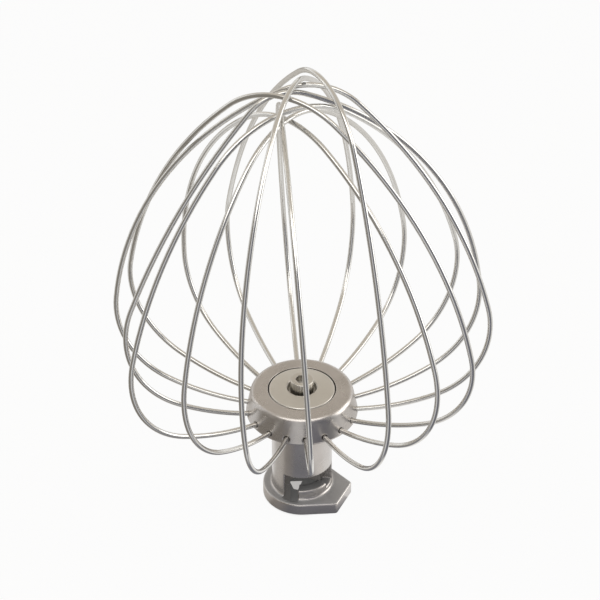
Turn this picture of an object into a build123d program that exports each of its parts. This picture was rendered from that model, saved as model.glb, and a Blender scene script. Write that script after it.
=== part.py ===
# Stand mixer wire whisk: a cast hub with a bayonet neck, nine bent wire loops, a clamp disc and its screw.
# Millimetres, +Z up, origin at the centre of the flange underside, -Y towards the front.
import math
import os
from typing import NamedTuple

from build123d import *

os.makedirs("parts", exist_ok=True)

# Neck and bore
bore_r = 6.4
bore_depth = 26.0
neck_wall = 3.4
neck_r = bore_r + neck_wall
foot_fillet = 1.0

# Flange: a disc with three flats that form a nose on one side
flange_t = 4.5
flange_lip = 3.0
flange_r = neck_r + flange_lip
flange_edge = 0.6
front_flat_angle = -86.0
nose_angle = -25.0
nose_height = 2.6
back_flat_angle = 42.0
back_flat_inset = 1.3
nose_corner_r = 1.2

# Bayonet slot: the pin enters through the flange, turns along the ledge and drops into its seat
slot_start_angle = -126.0
slot_entry_sweep = 29.0
slot_run_sweep = 121.0
slot_seat_sweep = 31.0
slot_height = 5.5
slot_edge = 0.3
ledge_rise = 3.4
seat_depth = 1.8
entry_margin = 1.2
ledge_z = flange_t + ledge_rise
seat_z = ledge_z - seat_depth
slot_top = ledge_z + slot_height

# Head of the hub: ring_z is the level at which the wires cross the skirt
ring_z = 36.0
ring_r = 17.5
head_r = 18.0
rim_r = 16.2
head_rise = 7.0
rim_round = 2.2
skirt_drop = 1.7
skirt_edge = 0.6
underside_drop = 7.5
head_top = ring_z + head_rise

# Clamp disc in its recess
disc_r = 10.7
disc_t = 4.0
disc_rise = 0.8
disc_gap = 0.2
disc_ledge = 0.9
disc_edge = 0.8
disc_bottom = head_top - disc_t
recess_r = disc_r + disc_gap
cavity_r = recess_r - disc_ledge
cavity_depth = 6.0

# Socket head cap screw and the post that it is tapped into
screw_r = 2.0
screw_head_r = 3.7
screw_head_h = 5.0
screw_head_edge = 0.4
screw_length = 9.0
socket_flats = 3.8
socket_depth = 2.5
knurl_count = 24
knurl_depth = 0.16
counterbore_gap = 0.9
counterbore_depth = 2.1
screw_gap = 0.15
thread_gap = 0.05
tap_spare = 0.5
post_wall = 2.6
post_r = screw_r + post_wall
counterbore_r = screw_head_r + counterbore_gap
disc_top = head_top + disc_rise
screw_seat_z = disc_top - counterbore_depth

# Wire and its holes in the head
wire_r = 0.8
hole_gap = 0.05
hole_mouth_r = 1.25
hole_mouth_depth = 0.7
spoke_slope = 8.0
hook_r = 7.6
hook_bend = 2.0
hook_leg = 1.5
rib_width = 1.3
rib_gap = 0.1

# Shape that the loops share, heights above the wire ring
flare_r = 75.0
belly_r = 28.5
belly_lift = 4.5
belly_rise = belly_r + belly_lift
belly_reach = 58.5
side_r = 100.0
crown_r = 28.0
crown_base = 100.4
crown_gap = 0.2
crown_step = 2 * wire_r + crown_gap
first_azimuth = -86.0
hole_pitch = 20.0


class Loop(NamedTuple):
    """One loop as bent: lean, place in the crown stack, and shares of the nominal crown, reach and side."""

    lean: float
    level: float
    crown_shift: float
    crown: float
    reach_a: float
    side_a: float
    reach_b: float
    side_b: float


loops = [
    Loop(-3.2, 2.2, -0.14, 1.05, 0.965, 0.62, 1.025, 0.82),
    Loop(-1.2, 9.2, 0.15, 1.14, 0.985, 0.79, 1.110, 1.05),
    Loop(-3.8, 1.2, -0.08, 1.18, 0.950, 1.07, 1.040, 0.89),
    Loop(-2.5, 3.6, 0.06, 1.26, 1.030, 1.29, 1.060, 1.10),
    Loop(-4.4, 5.7, 0.09, 0.54, 0.940, 2.25, 1.005, 0.89),
    Loop(-4.8, 6.7, -0.08, 0.71, 1.010, 0.95, 0.995, 1.41),
    Loop(2.8, 8.3, 0.11, 0.93, 1.035, 1.33, 0.985, 1.23),
    Loop(-1.8, 0.0, 0.28, 1.13, 0.970, 0.72, 0.960, 1.01),
    Loop(-2.0, 11.1, -0.17, 0.96, 1.095, 1.46, 1.000, 2.27),
]


def direction(angle):
    """Level unit vector at an angle, in degrees from +X."""
    return Vector(math.cos(math.radians(angle)), math.sin(math.radians(angle)), 0)


def upright_plane(angle):
    """Upright plane through the axis, its X pointing outwards at the angle and its Y up."""
    outwards = direction(angle)
    return Plane(origin=(0, 0, 0), x_dir=outwards, z_dir=outwards.cross(Vector(0, 0, 1)))


def loop_plane(index):
    """Plane of a loop: X along its first spoke, Y up and leaning sideways by the loop's lean."""
    outwards = direction(first_azimuth - index * hole_pitch)
    lean = math.radians(loops[index].lean)
    sideways = Vector(0, 0, 1).cross(outwards)
    upwards = Vector(0, 0, 1) * math.cos(lean) + sideways * math.sin(lean)
    return Plane(origin=(0, 0, ring_z), x_dir=outwards, z_dir=outwards.cross(upwards))


def flats_corner(angle_a, distance_a, angle_b, distance_b):
    """Corner of two flats, each given by the angle of its normal and its distance from the axis."""
    a = direction(angle_a)
    b = direction(angle_b)
    across = a.X * b.Y - a.Y * b.X
    return Vector(distance_a * b.Y - distance_b * a.Y, distance_b * a.X - distance_a * b.X) / across


def touching_center(center_a, distance_a, center_b, distance_b):
    """Point at two given distances from two centres, on the left of the way from the first to the second."""
    way = center_b - center_a
    along = (way.length**2 + distance_a**2 - distance_b**2) / (2 * way.length)
    aside = math.sqrt(distance_a**2 - along**2)
    unit = way.normalized()
    return center_a + unit * along + Vector(-unit.Y, unit.X) * aside


def short_arc(center, start, end):
    """Arc under half a turn between two points at the same distance from its centre."""
    spread = (start - center) + (end - center)
    middle = center + spread.normalized() * (start - center).length
    return ThreePointArc(tuple(start), tuple(middle), tuple(end))


# The spoke is the straight part of a wire, as (distance from the axis, height above the ring)
spoke_way = direction(spoke_slope)
spoke_normal = Vector(-spoke_way.Y, spoke_way.X)
spoke_tan = spoke_way.Y / spoke_way.X


def spoke_point(radius):
    """Point of the spoke at a distance from the axis."""
    return Vector(radius, (radius - ring_r) * spoke_tan)


def draw_hooked_spoke(side, spoke_end):
    """Leg and bend of the hook, then the straight spoke, on one side of a loop."""

    def place(point):
        return Vector(side * point.X, point.Y)

    bend_start = spoke_point(hook_r + hook_bend * (1 - spoke_way.Y))
    bend_center = bend_start - spoke_normal * hook_bend
    leg_top = Vector(hook_r, bend_center.Y)
    leg_end = leg_top - Vector(0, hook_leg)
    Line(tuple(place(leg_end)), tuple(place(leg_top)))
    short_arc(place(bend_center), place(leg_top), place(bend_start))
    Line(tuple(place(bend_start)), tuple(place(spoke_end)))


def draw_half_loop(side, reach_share, side_share, crown_center, top_r):
    """Draws one side of a loop from its hook to the crown, and returns where the crown arc begins."""

    def place(point):
        return Vector(side * point.X, point.Y)

    belly_center = Vector(reach_share * belly_reach - belly_r, belly_rise)
    bow_r = side_share * side_r
    own_crown = place(crown_center)
    flare_start = spoke_point(ring_r) + spoke_normal * flare_r - belly_center
    back = flare_start.dot(spoke_way)
    spread = math.sqrt(back**2 - flare_start.dot(flare_start) + (flare_r - belly_r) ** 2)
    spoke_end = spoke_point(ring_r) - spoke_way * (back + spread)
    flare_center = spoke_end + spoke_normal * flare_r
    flare_end = flare_center + (belly_center - flare_center).normalized() * flare_r
    bow_center = touching_center(belly_center, bow_r - belly_r, own_crown, bow_r - top_r)
    belly_end = bow_center + (belly_center - bow_center).normalized() * bow_r
    crown_start = bow_center + (own_crown - bow_center).normalized() * bow_r

    draw_hooked_spoke(side, spoke_end)
    short_arc(place(flare_center), place(spoke_end), place(flare_end))
    short_arc(place(belly_center), place(flare_end), place(belly_end))
    short_arc(place(bow_center), place(belly_end), place(crown_start))
    return place(crown_start)


# Hub
nose_reach = flange_r + nose_height
back_flat = flange_r - back_flat_inset
front_tangent = direction(front_flat_angle) * flange_r
front_corner = flats_corner(front_flat_angle, flange_r, nose_angle, nose_reach)
back_corner = flats_corner(nose_angle, nose_reach, back_flat_angle, back_flat)
back_half_chord = math.sqrt(flange_r**2 - back_flat**2)
back_end = direction(back_flat_angle) * back_flat + direction(back_flat_angle + 90) * back_half_chord

with BuildPart() as hub:
    with BuildSketch() as outline:
        with BuildLine():
            Polyline(front_tangent, front_corner, back_corner, back_end)
            ThreePointArc(back_end, (-flange_r, 0), front_tangent)
        make_face()
        corners = [outline.vertices().sort_by_distance(c)[0] for c in (front_corner, back_corner, back_end)]
        fillet(corners, nose_corner_r)
    extrude(amount=flange_t)
    fillet(hub.edges().group_by(Axis.Z)[-1], flange_edge)
    chamfer(hub.edges().group_by(Axis.Z)[0], flange_edge)

    # Neck and flared head in one turned profile, its foot rounded into the flange
    foot_r = neck_r + foot_fillet
    foot_top = flange_t + foot_fillet
    with BuildSketch(Plane.XZ) as head_profile:
        with BuildLine():
            short_arc(Vector(foot_r, foot_top), Vector(foot_r, flange_t), Vector(neck_r, foot_top))
            Polyline(
                (neck_r, foot_top),
                (neck_r, ring_z - underside_drop),
                (head_r, ring_z - skirt_drop),
                (rim_r, head_top),
                (0, head_top),
                (0, flange_t / 2),
                (foot_r, flange_t / 2),
                (foot_r, flange_t),
            )
        make_face()
        fillet(head_profile.vertices().sort_by_distance((rim_r, head_top))[0], rim_round)
        fillet(head_profile.vertices().sort_by_distance((head_r, ring_z - skirt_drop))[0], skirt_edge)
    revolve(axis=Axis.Z)

    # Recess for the disc, cavity for the hooks around the post, and the tapped hole
    with BuildSketch(Plane.XY.offset(head_top)):
        Circle(recess_r)
    extrude(amount=-disc_t, mode=Mode.SUBTRACT)
    with BuildSketch(Plane.XY.offset(disc_bottom)):
        Circle(cavity_r)
        Circle(post_r, mode=Mode.SUBTRACT)
    extrude(amount=ring_z - cavity_depth - disc_bottom, mode=Mode.SUBTRACT)
    with BuildSketch(Plane.XY.offset(disc_bottom)):
        Circle(screw_r + thread_gap)
    extrude(amount=screw_seat_z - screw_length - tap_spare - disc_bottom, mode=Mode.SUBTRACT)

    # Spindle bore
    with BuildSketch():
        Circle(bore_r)
    extrude(amount=bore_depth, mode=Mode.SUBTRACT)

    # Bayonet slot: the entry through the flange, then the run and the seat with broken outer edges
    with BuildSketch(upright_plane(slot_start_angle)):
        with Locations((bore_r / 2, 0)):
            Rectangle(neck_r + entry_margin - bore_r / 2, slot_top, align=(Align.MIN, Align.MIN))
    revolve(axis=Axis.Z, revolution_arc=slot_entry_sweep, mode=Mode.SUBTRACT)
    seat_start_angle = slot_start_angle + slot_run_sweep - slot_seat_sweep
    for cut_angle, cut_sweep, bottom in (
        (slot_start_angle, slot_run_sweep, ledge_z),
        (seat_start_angle, slot_seat_sweep, seat_z),
    ):
        with BuildSketch(upright_plane(cut_angle)):
            with BuildLine():
                Polyline(
                    (bore_r / 2, bottom),
                    (neck_r - slot_edge, bottom),
                    (neck_r, bottom - slot_edge),
                    (foot_r, bottom - slot_edge),
                    (foot_r, slot_top + slot_edge),
                    (neck_r, slot_top + slot_edge),
                    (neck_r - slot_edge, slot_top),
                    (bore_r / 2, slot_top),
                    close=True,
                )
            make_face()
        revolve(axis=Axis.Z, revolution_arc=cut_sweep, mode=Mode.SUBTRACT)

    # Two wire holes for each loop, along its own spokes, with countersunk mouths
    for index in range(len(loops)):
        wire_plane = loop_plane(index)
        for side in (1, -1):
            inner = wire_plane.from_local_coords(Vector(side * hook_r, spoke_point(hook_r).Y))
            mouth_center = wire_plane.from_local_coords(Vector(side * ring_r, 0))
            hole_way = (mouth_center - inner).normalized()
            with BuildSketch(Plane(origin=inner, z_dir=hole_way)):
                Circle(wire_r + hole_gap)
            extrude(amount=head_r, mode=Mode.SUBTRACT)
            with Locations(Plane(origin=mouth_center, z_dir=hole_way)):
                Cone(
                    wire_r,
                    hole_mouth_r,
                    hole_mouth_depth,
                    align=(Align.CENTER, Align.CENTER, Align.CENTER),
                    mode=Mode.SUBTRACT,
                )
hub.part.label = "hub"
export_step(hub.part, "parts/hub.step")

# Clamp disc with the rib that keeps the hooks down
rib_outer_r = cavity_r - disc_gap
wire_top_at_rib = ring_z + spoke_point(rib_outer_r).Y + wire_r / spoke_way.X
rib_bottom = wire_top_at_rib + rib_gap
with BuildPart() as clamp_disc:
    with BuildSketch(Plane.XZ):
        with BuildLine():
            Polyline(
                (screw_r + screw_gap, disc_bottom),
                (rib_outer_r - rib_width, disc_bottom),
                (rib_outer_r - rib_width, rib_bottom),
                (rib_outer_r, rib_bottom),
                (rib_outer_r, disc_bottom),
                (disc_r, disc_bottom),
                (disc_r, head_top),
                (counterbore_r, disc_top),
                (counterbore_r, screw_seat_z),
                (screw_r + screw_gap, screw_seat_z),
                close=True,
            )
        make_face()
    revolve(axis=Axis.Z)
    circles = clamp_disc.edges().filter_by(GeomType.CIRCLE)
    chamfer(circles.sort_by(Axis.Z)[-1], disc_edge / 2)
    fillet(circles.group_by(SortBy.RADIUS)[-1].sort_by(Axis.Z)[-1], disc_edge)
clamp_disc.part.label = "clamp_disc"
export_step(clamp_disc.part, "parts/clamp_disc.step")

# Socket head cap screw
screw_top = screw_seat_z + screw_head_h
with BuildPart() as clamp_screw:
    with BuildSketch(Plane.XY.offset(screw_seat_z)):
        Circle(screw_head_r)
    extrude(amount=screw_head_h)
    fillet(clamp_screw.edges().group_by(Axis.Z)[-1], screw_head_edge)
    with BuildSketch(Plane.XY.offset(screw_seat_z)):
        Circle(screw_r)
    extrude(amount=-screw_length)
    with BuildSketch(Plane.XY.offset(screw_top)):
        RegularPolygon(socket_flats / 2, 6, major_radius=False)
    extrude(amount=-socket_depth, mode=Mode.SUBTRACT)
    with BuildSketch(Plane.XY.offset(screw_seat_z)):
        with PolarLocations(screw_head_r, knurl_count):
            Rectangle(knurl_depth * math.sqrt(2), knurl_depth * math.sqrt(2), rotation=45)
    extrude(amount=screw_head_h - screw_head_edge, mode=Mode.SUBTRACT)
clamp_screw.part.label = "clamp_screw"
export_step(clamp_screw.part, "parts/clamp_screw.step")

# Wire loops
for index, loop in enumerate(loops):
    top_r = loop.crown * crown_r
    crown_top = Vector(loop.crown_shift * crown_r, crown_base + loop.level * crown_step)
    crown_center = crown_top - Vector(0, top_r)
    with BuildPart() as wire_loop:
        with BuildLine(loop_plane(index)) as route:
            crown_a = draw_half_loop(1, loop.reach_a, loop.side_a, crown_center, top_r)
            crown_b = draw_half_loop(-1, loop.reach_b, loop.side_b, crown_center, top_r)
            short_arc(crown_center, crown_a, crown_b)
        path = route.wire()
        with BuildSketch(Plane(origin=path @ 0, z_dir=path % 0)):
            Circle(wire_r)
        sweep(path=path)
    name = f"wire_loop_{index + 1}"
    wire_loop.part.label = name
    export_step(wire_loop.part, f"parts/{name}.step")
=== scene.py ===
# Stand mixer wire whisk on a pale studio floor, metres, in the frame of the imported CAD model.
import math

import bmesh
import bpy
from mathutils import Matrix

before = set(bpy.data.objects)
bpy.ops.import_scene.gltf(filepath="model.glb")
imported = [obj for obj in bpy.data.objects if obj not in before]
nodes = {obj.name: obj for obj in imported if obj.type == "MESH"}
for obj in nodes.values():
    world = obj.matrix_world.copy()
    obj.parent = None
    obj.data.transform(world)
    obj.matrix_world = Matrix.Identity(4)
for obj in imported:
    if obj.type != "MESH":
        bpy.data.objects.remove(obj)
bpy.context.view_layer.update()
scene = bpy.context.scene
MM = 0.001

# Sockets of a Mix node that blends colours: its share, its two colours and its result
SHARE, FROM, TO, BLEND = 0, 6, 7, 2

# Marks that all the metals share: painted shade in the recesses, and a cooler, darker, more matt grey on
# level faces low on the hub
painted_shade_reach = 10 * MM
painted_shade_closed, painted_shade_open = 0.1, 0.8
painted_shade_darkest = 0.65
low_flat_colour = "#b3b5b8"
low_flat_tilted, low_flat_level = 0.7, 0.95
low_flat_top, low_flat_full = 9.0 * MM, 8.2 * MM
low_flat_share = 0.8
low_flat_matt = 0.4
# Fine marks: the range of their noise, and the radius at which lines along a wire have their set spacing
marks_low, marks_high = 0.3, 0.7
line_radius = 40 * MM


def linear(hex_colour):
    """Linear RGBA of an sRGB hex colour."""
    channels = [int(hex_colour[i:i + 2], 16) / 255 for i in (1, 3, 5)]
    return [c / 12.92 if c <= 0.04045 else ((c + 0.055) / 1.055) ** 2.4 for c in channels] + [1.0]


def add(tree, kind, inputs=None, **settings):
    """Adds a node with its settings; an input takes a value, or the output socket that feeds it."""
    node = tree.nodes.new(kind)
    for name, value in settings.items():
        setattr(node, name, value)
    for key, value in (inputs or {}).items():
        if isinstance(value, bpy.types.NodeSocket):
            tree.links.new(value, node.inputs[key])
        else:
            node.inputs[key].default_value = value
    return node


def new_material(name):
    """Material with an empty node tree, and that tree."""
    material = bpy.data.materials.new(name)
    material.use_nodes = True
    material.node_tree.nodes.clear()
    return material, material.node_tree


def worn_metal(name, dark, light, rough, mottle, mark, mark_depth, edge, lay="even"):
    """Bare metal: mottled tone, roughness that follows the fine marks, soft edges, painted shade in the
    recesses, and a cooler, darker, more matt grey on low level faces.

    The marks lie evenly, in rings round the axis as turning leaves them, or along the wires as drawing does.
    Mottle and mark are the spacing of each, in metres.
    """
    material, tree = new_material(name)
    place = add(tree, "ShaderNodeTexCoord").outputs["Object"]
    axes = add(tree, "ShaderNodeSeparateXYZ", {"Vector": place})
    if lay == "rings":
        level = add(tree, "ShaderNodeCombineXYZ", {"X": axes.outputs["X"], "Y": axes.outputs["Y"]})
        radius = add(tree, "ShaderNodeVectorMath", {0: level.outputs[0]}, operation="LENGTH")
        marked = add(tree, "ShaderNodeCombineXYZ", {"X": radius.outputs["Value"]}).outputs[0]
    elif lay == "along":
        turn = add(
            tree, "ShaderNodeMath", {0: axes.outputs["Y"], 1: axes.outputs["X"]}, operation="ARCTAN2"
        )
        across = add(tree, "ShaderNodeMath", {0: turn.outputs[0], 1: line_radius}, operation="MULTIPLY")
        marked = add(tree, "ShaderNodeCombineXYZ", {"X": across.outputs[0]}).outputs[0]
    else:
        marked = place
    mottling = add(tree, "ShaderNodeTexNoise", {"Vector": place, "Scale": 1 / mottle, "Detail": 4.0})
    marks = add(tree, "ShaderNodeTexNoise", {"Vector": marked, "Scale": 1 / mark, "Detail": 1.0})
    tone = add(
        tree,
        "ShaderNodeMix",
        {SHARE: mottling.outputs["Fac"], FROM: linear(dark), TO: linear(light)},
        data_type="RGBA",
    )
    # Painted shade: the colour darkens in recesses and under parts, the more closed in they are
    recess = add(tree, "ShaderNodeAmbientOcclusion", {"Distance": painted_shade_reach}, samples=8)
    painted_shade = add(
        tree,
        "ShaderNodeMapRange",
        {
            "Value": recess.outputs["AO"],
            "From Min": painted_shade_closed,
            "From Max": painted_shade_open,
            "To Min": painted_shade_darkest,
            "To Max": 1.0,
        },
    )
    facing = add(tree, "ShaderNodeSeparateXYZ", {0: add(tree, "ShaderNodeNewGeometry").outputs["Normal"]})
    # Level faces low on the hub take a cooler, darker, more matt grey
    ledge = add(
        tree,
        "ShaderNodeMapRange",
        {"Value": facing.outputs["Z"], "From Min": low_flat_tilted, "From Max": low_flat_level},
    )
    low = add(
        tree,
        "ShaderNodeMapRange",
        {"Value": axes.outputs["Z"], "From Min": low_flat_top, "From Max": low_flat_full},
    )
    low_flat = add(tree, "ShaderNodeMath", {0: ledge.outputs[0], 1: low.outputs[0]}, operation="MULTIPLY")
    cover = add(tree, "ShaderNodeMath", {0: low_flat.outputs[0], 1: low_flat_share}, operation="MULTIPLY")
    low_flat_toned = add(
        tree,
        "ShaderNodeMix",
        {SHARE: cover.outputs[0], FROM: tone.outputs[BLEND], TO: linear(low_flat_colour)},
        data_type="RGBA",
    )
    colour = add(
        tree,
        "ShaderNodeMix",
        {SHARE: 1.0, FROM: low_flat_toned.outputs[BLEND], TO: painted_shade.outputs[0]},
        data_type="RGBA",
        blend_type="MULTIPLY",
    )
    clean_rough = add(
        tree,
        "ShaderNodeMapRange",
        {
            "Value": marks.outputs["Fac"],
            "From Min": marks_low,
            "From Max": marks_high,
            "To Min": rough[0],
            "To Max": rough[1],
        },
    )
    roughness = add(
        tree,
        "ShaderNodeMath",
        {0: cover.outputs[0], 1: low_flat_matt, 2: clean_rough.outputs[0]},
        operation="MULTIPLY_ADD",
    )
    soft_edges = add(tree, "ShaderNodeBevel", {"Radius": edge}, samples=16)
    bump = add(
        tree,
        "ShaderNodeBump",
        {"Height": marks.outputs["Fac"], "Distance": mark_depth, "Normal": soft_edges.outputs[0]},
    )
    shader = add(
        tree,
        "ShaderNodeBsdfPrincipled",
        {
            "Base Color": colour.outputs[BLEND],
            "Metallic": 1.0,
            "Roughness": roughness.outputs[0],
            "Normal": bump.outputs["Normal"],
        },
    )
    add(tree, "ShaderNodeOutputMaterial", {"Surface": shader.outputs[0]})
    return material


# Tumbled aluminium casting: soft satin grey with a slow mottle, faint dents and rounded edges
cast_aluminium = worn_metal(
    "tumbled_cast_aluminium",
    dark="#bfbab5",
    light="#d8d3cf",
    rough=(0.24, 0.32),
    mottle=7.0 * MM,
    mark=6.0 * MM,
    mark_depth=0.05 * MM,
    edge=0.7 * MM,
)

# Turned aluminium: paler, warmer and more matt than the casting, with faint turning rings.
# The rings are drawn coarser than real ones, so that they show.
turned_aluminium = worn_metal(
    "turned_aluminium",
    dark="#d8d4cc",
    light="#e2dfd8",
    rough=(0.28, 0.36),
    mottle=5.0 * MM,
    mark=0.25 * MM,
    mark_depth=0.002 * MM,
    edge=0.3 * MM,
    lay="rings",
)

# Machined steel: warm grey with a small mottle and crisp edges
screw_steel = worn_metal(
    "machined_screw_steel",
    dark="#d2cec6",
    light="#dedad2",
    rough=(0.26, 0.34),
    mottle=2.0 * MM,
    mark=6.0 * MM,
    mark_depth=0.06 * MM,
    edge=0.2 * MM,
    lay="along",
)

# Drawn stainless wire: bright, with clear streaks of light and fine draw lines.
# The lines are drawn coarser than real ones, so that they show.
wire_steel = worn_metal(
    "drawn_stainless_wire",
    dark="#dfddd9",
    light="#ebeae6",
    rough=(0.12, 0.2),
    mottle=9.0 * MM,
    mark=0.12 * MM,
    mark_depth=0.001 * MM,
    edge=0.0,
    lay="along",
)

finish_of = {"hub": cast_aluminium, "clamp_disc": turned_aluminium, "clamp_screw": screw_steel}
for name, node in nodes.items():
    node.data.materials.clear()
    node.data.materials.append(finish_of.get(name, wire_steel))


def new_stage(name, shape, material):
    """Turns a bmesh into a stage object with its material."""
    mesh = bpy.data.meshes.new(name)
    shape.to_mesh(mesh)
    shape.free()
    mesh.materials.append(material)
    thing = bpy.data.objects.new(name, mesh)
    scene.collection.objects.link(thing)
    return thing


# Floor: half its width, its matt greys (the darker one a painted shade inside the bore), and how white it
# looks in each place (in the metal, a painted reflection)
floor_half = 4.0
bore_grey, floor_grey = 0.3, 0.6
bore_edge, foot_edge = 9 * MM, 13 * MM
bore_seen, bore_mirrored = 0.055, 0.18
camera_white = 0.94
pool_white = 0.9
pool_edge, pool_end = 30 * MM, 80 * MM
left_white, right_white = 0.05, 0.4
right_end = 80 * MM


def floor_paint():
    """Pale paint: nearly white to the camera, with a little of its true shade left so that the shadow stays.

    In the metal it shows a painted reflection: pale in a pool round the foot and dimmer further out, most of
    all on the left.
    Inside the bore it keeps most of its shade and is painted a darker grey, a painted shade, so that the
    bore looks dark through the slot.
    """
    material, tree = new_material("pale_floor")
    rays = add(tree, "ShaderNodeLightPath")
    place = add(tree, "ShaderNodeTexCoord").outputs["Object"]
    axes = add(tree, "ShaderNodeSeparateXYZ", {0: place})
    away = add(tree, "ShaderNodeVectorMath", {0: place}, operation="LENGTH")
    bore = add(
        tree,
        "ShaderNodeMapRange",
        {"Value": rays.outputs["Is Glossy Ray"], "To Min": bore_seen, "To Max": bore_mirrored},
    )
    clear = add(
        tree,
        "ShaderNodeMapRange",
        {
            "Value": away.outputs["Value"],
            "From Min": bore_edge,
            "From Max": foot_edge,
            "To Min": bore.outputs[0],
            "To Max": 1.0,
        },
    )
    side = add(
        tree,
        "ShaderNodeMapRange",
        {
            "Value": axes.outputs["X"],
            "From Min": 0.0,
            "From Max": right_end,
            "To Min": left_white,
            "To Max": right_white,
        },
    )
    pool = add(
        tree,
        "ShaderNodeMapRange",
        {
            "Value": away.outputs["Value"],
            "From Min": pool_edge,
            "From Max": pool_end,
            "To Min": pool_white,
            "To Max": side.outputs[0],
        },
    )
    to_camera = add(
        tree, "ShaderNodeMath", {0: rays.outputs["Is Camera Ray"], 1: camera_white}, operation="MULTIPLY"
    )
    # Painted reflection: how white the floor shows in the metal is set by place, pale round the foot
    to_metal = add(
        tree, "ShaderNodeMath", {0: rays.outputs["Is Glossy Ray"], 1: pool.outputs[0]}, operation="MULTIPLY"
    )
    seen = add(
        tree, "ShaderNodeMath", {0: to_camera.outputs[0], 1: to_metal.outputs[0]}, operation="MAXIMUM"
    )
    whiteness = add(tree, "ShaderNodeMath", {0: seen.outputs[0], 1: clear.outputs[0]}, operation="MULTIPLY")
    # Painted shade: the matt grey is darker inside the bore
    grey = add(
        tree, "ShaderNodeMapRange", {"Value": clear.outputs[0], "To Min": bore_grey, "To Max": floor_grey}
    )
    matt = add(tree, "ShaderNodeBsdfDiffuse", {"Color": grey.outputs[0]})
    white = add(tree, "ShaderNodeEmission", {"Color": linear("#ffffff"), "Strength": 1.0})
    paint = add(
        tree,
        "ShaderNodeMixShader",
        {0: whiteness.outputs[0], 1: matt.outputs[0], 2: white.outputs[0]},
    )
    add(tree, "ShaderNodeOutputMaterial", {"Surface": paint.outputs[0]})
    return material


shape = bmesh.new()
bmesh.ops.create_grid(shape, x_segments=1, y_segments=1, size=floor_half)
new_stage("floor", shape, floor_paint())

# Patch of light on the floor in the bore, as seen through the slot
patch_lift = 0.1 * MM
patch_corners = [(-4.0 * MM, 4.2 * MM), (-2.7 * MM, 0.5 * MM), (-1.3 * MM, 0.0), (0.1 * MM, 4.4 * MM)]
patch_paint, tree = new_material("light_through_slot")
glow = add(tree, "ShaderNodeEmission", {"Color": linear("#b8b6b4"), "Strength": 1.0})
add(tree, "ShaderNodeOutputMaterial", {"Surface": glow.outputs[0]})
shape = bmesh.new()
shape.faces.new([shape.verts.new((x, y, patch_lift)) for x, y in patch_corners])
new_stage("light_patch", shape, patch_paint)

# Cove: the unlit room on the photograph's side, a floor sector that turns up into a wall.
# It shows in the metal only, so every view keeps the pale ground.
# Painted reflection: a glowing sheet, no lamp, whose dark and pale bands the metal mirrors in place of the
# room's shade
cove_start, cove_end = math.radians(-206), math.radians(-15)
cove_steps = 48
cove_lift = 0.4 * MM
cove_inner, cove_bend, cove_wall = 12 * MM, 500 * MM, 620 * MM
bend_top, wall_top = 120 * MM, 750 * MM
# Tones round the room, at angles in degrees from +X
room_stops = (
    (-190, "#e8e8e8"),
    (-176, "#87827a"),
    (-122, "#88847f"),
    (-115, "#83848e"),
    (-80, "#767783"),
    (-43, "#6f7077"),
    (-33, "#7e7e7e"),
    (-15, "#e8e8e8"),
)
# One pale panel in the room, which the skirt and the wires mirror
panel_colour = "#dadada"
panel_start, panel_end, panel_fade = -116, -76, 12
# Tones round the foot, which the neck and flange mirror, and the pale ground to the right of it
foot_stops = (
    (-206, "#f4f4f4"),
    (-186, "#cac7c3"),
    (-158, "#c6c3bf"),
    (-152, "#b6b2ae"),
    (-146, "#9a9692"),
    (-128, "#93908f"),
    (-112, "#818289"),
)
right_colour = "#efedeb"
right_edge, right_full = 12 * MM, 19 * MM
# Radius at which the tones of the foot give way to those of the room
foot_end, room_start = 55 * MM, 75 * MM


def bearing(degrees):
    """Share of the way round the cove at an angle in degrees from +X."""
    return (math.radians(degrees) - cove_start) / (cove_end - cove_start)


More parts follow.
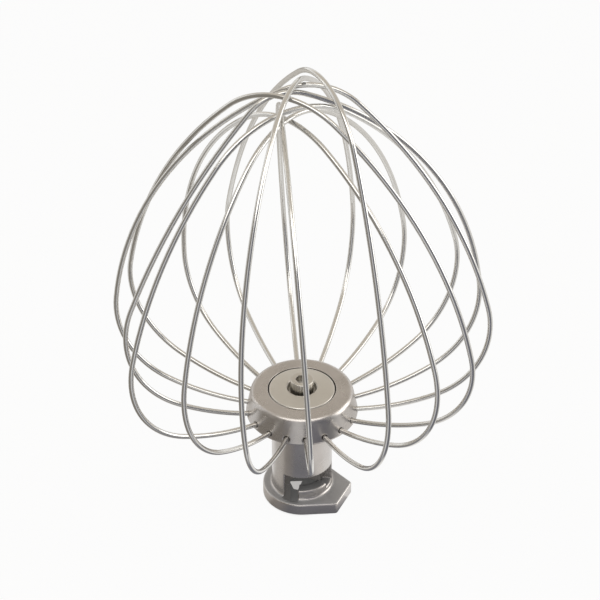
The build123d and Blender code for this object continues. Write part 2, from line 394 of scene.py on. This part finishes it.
def room_paint():
    """Glowing paint with the dark and pale bands that the metal mirrors."""
    material, tree = new_material("unlit_room")
    place = add(tree, "ShaderNodeTexCoord").outputs["Object"]
    axes = add(tree, "ShaderNodeSeparateXYZ", {0: place})
    away = add(tree, "ShaderNodeVectorMath", {0: place}, operation="LENGTH")
    turn = add(tree, "ShaderNodeMath", {0: axes.outputs["Y"], 1: axes.outputs["X"]}, operation="ARCTAN2")
    whole = add(
        tree,
        "ShaderNodeMath",
        {0: turn.outputs[0], 1: cove_start, 2: cove_start + 2 * math.pi},
        operation="WRAP",
    )
    along = add(
        tree,
        "ShaderNodeMapRange",
        {"Value": whole.outputs[0], "From Min": cove_start, "From Max": cove_end},
    ).outputs[0]
    bands = []
    for stops in (room_stops, foot_stops):
        ramp = add(tree, "ShaderNodeValToRGB", {0: along})
        while len(ramp.color_ramp.elements) < len(stops):
            ramp.color_ramp.elements.new(1.0)
        for stop, (angle, tone) in zip(ramp.color_ramp.elements, stops):
            stop.position = bearing(angle)
            stop.color = linear(tone)
        bands.append(ramp.outputs["Color"])
    room_bands, foot_bands = bands
    after = add(
        tree,
        "ShaderNodeMapRange",
        {"Value": along, "From Min": bearing(panel_start), "From Max": bearing(panel_start + panel_fade)},
    )
    before = add(
        tree,
        "ShaderNodeMapRange",
        {"Value": along, "From Min": bearing(panel_end), "From Max": bearing(panel_end - panel_fade)},
    )
    panel = add(tree, "ShaderNodeMath", {0: after.outputs[0], 1: before.outputs[0]}, operation="MULTIPLY")
    room = add(
        tree,
        "ShaderNodeMix",
        {SHARE: panel.outputs[0], FROM: room_bands, TO: linear(panel_colour)},
        data_type="RGBA",
    )
    right = add(
        tree,
        "ShaderNodeMapRange",
        {"Value": axes.outputs["X"], "From Min": right_edge, "From Max": right_full},
    )
    foot = add(
        tree,
        "ShaderNodeMix",
        {SHARE: right.outputs[0], FROM: foot_bands, TO: linear(right_colour)},
        data_type="RGBA",
    )
    far = add(
        tree,
        "ShaderNodeMapRange",
        {"Value": away.outputs["Value"], "From Min": foot_end, "From Max": room_start},
    )
    shade = add(
        tree,
        "ShaderNodeMix",
        {SHARE: far.outputs[0], FROM: foot.outputs[BLEND], TO: room.outputs[BLEND]},
        data_type="RGBA",
    )
    glow = add(tree, "ShaderNodeEmission", {"Color": shade.outputs[BLEND], "Strength": 1.0})
    add(tree, "ShaderNodeOutputMaterial", {"Surface": glow.outputs[0]})
    return material


shape = bmesh.new()
profile = [(cove_inner, cove_lift), (cove_bend, cove_lift), (cove_wall, bend_top), (cove_wall, wall_top)]
points = [shape.verts.new((r * math.cos(cove_start), r * math.sin(cove_start), z)) for r, z in profile]
lines = [shape.edges.new(pair) for pair in zip(points, points[1:])]
bmesh.ops.spin(
    shape,
    geom=points + lines,
    cent=(0, 0, 0),
    axis=(0, 0, 1),
    angle=cove_end - cove_start,
    steps=cove_steps,
)
cove = new_stage("cove", shape, room_paint())
cove.visible_camera = False
cove.visible_diffuse = False
cove.visible_shadow = False

# World: a white backdrop all round that turns to a warm, dimmer ceiling
backdrop_top, ceiling_start = 0.05, 0.4
world = bpy.data.worlds.new("studio")
scene.world = world
world.use_nodes = True
tree = world.node_tree
tree.nodes.clear()
heading = add(tree, "ShaderNodeTexCoord").outputs["Generated"]
height = add(tree, "ShaderNodeSeparateXYZ", {0: heading}).outputs["Z"]
rise = add(
    tree, "ShaderNodeMapRange", {"Value": height, "From Min": backdrop_top, "From Max": ceiling_start}
)
sky = add(
    tree,
    "ShaderNodeMix",
    {SHARE: rise.outputs[0], FROM: linear("#ffffff"), TO: linear("#cbc4ba")},
    data_type="RGBA",
)
background = add(tree, "ShaderNodeBackground", {"Color": sky.outputs[BLEND], "Strength": 1.0})
add(tree, "ShaderNodeOutputWorld", {"Surface": background.outputs[0]})

# Softboxes: a wide one over the front for the glints on the edges, and one on each side.
# Each row has a name, a place, a width, a depth and a power in watts.
softbox_aim = (0, 0, 60 * MM)
softboxes = (
    ("softbox_front", (0.0, -0.42, 0.82), 1.2, 0.5, 2.8),
    ("softbox_left", (-0.8, 0.1, 0.3), 0.6, 0.6, 1.8),
    ("softbox_right", (0.8, 0.1, 0.3), 0.6, 0.6, 1.8),
)
for name, place, width, depth, power in softboxes:
    lamp = bpy.data.lights.new(name, "AREA")
    lamp.shape = "RECTANGLE"
    lamp.size = width
    lamp.size_y = depth
    lamp.energy = power
    holder = bpy.data.objects.new(name, lamp)
    holder.location = place
    way = [a - p for a, p in zip(softbox_aim, place)]
    level = math.hypot(way[0], way[1])
    holder.rotation_euler = (math.atan2(level, -way[2]), 0, math.atan2(-way[0], way[1]))
    scene.collection.objects.link(holder)

# Camera at the photograph's view
elevation = math.radians(35.73)
distance = 600 * MM
aim = (-0.62 * MM, 0.74 * MM, 77.02 * MM)
lens = bpy.data.cameras.new("camera")
lens.sensor_width = 36.0
lens.lens = 116.67
lens.clip_start = 0.01
camera = bpy.data.objects.new("camera", lens)
camera.location = (
    aim[0],
    aim[1] - distance * math.cos(elevation),
    aim[2] + distance * math.sin(elevation),
)
camera.rotation_euler = (math.pi / 2 - elevation, 0, 0)
scene.collection.objects.link(camera)
scene.camera = camera
scene.view_settings.view_transform = "Standard"
